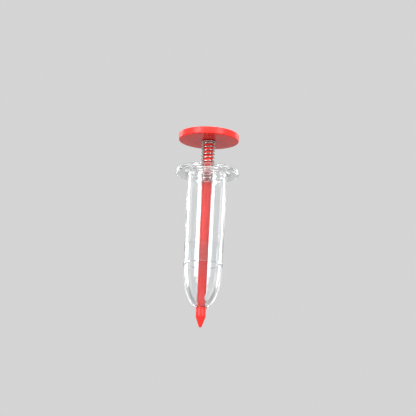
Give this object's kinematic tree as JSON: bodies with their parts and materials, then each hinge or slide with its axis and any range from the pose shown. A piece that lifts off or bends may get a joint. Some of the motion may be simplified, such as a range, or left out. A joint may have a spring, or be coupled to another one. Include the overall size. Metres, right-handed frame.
{
  "type": "push seeder",
  "caption": "Hand-held push seeder: clear barrel with finger flange and bullet nose, sprung red plunger with thumb disc, seed pocket and pointed planting tip.",
  "frame": {"origin": "the point of the planting tip, on the plunger's axis, at rest", "axes": "+Z along the plunger's axis from the planting tip up to the thumb disc; +X out of the seed pocket's side of the rod; the picture looks along +Y"},
  "size_m": [0.0326, 0.0326, 0.1017],
  "materials": {
    "red_plastic": "glossy moulded bright red",
    "spring_steel": "bright drawn wire",
    "clear_plastic": "polished crystal-clear moulding"
  },
  "bodies": {
    "root": {"barrel": "clear_plastic", "nose_cone": "clear_plastic"},
    "cap": {"filling_cap": "clear_plastic", "return_spring": "spring_steel"},
    "plunger": {"thumb_disc": "red_plastic", "plunger_rod": "red_plastic", "planting_tip": "red_plastic"}
  },
  "joints": [
    {"name": "plunger_press", "type": "slide", "parent": "root", "child": "plunger", "axis": [0, 0, -1], "range_m": [0, 0.009], "stiffness_N_per_m": 700, "springref_m": -0.003, "deforming": ["return_spring"]},
    {"name": "cap_lift", "type": "slide", "parent": "root", "child": "cap", "axis": [0, 0, 1], "range_m": [0, 0.003], "stiffness_N_per_m": 700, "springref_m": -0.003}
  ]
}
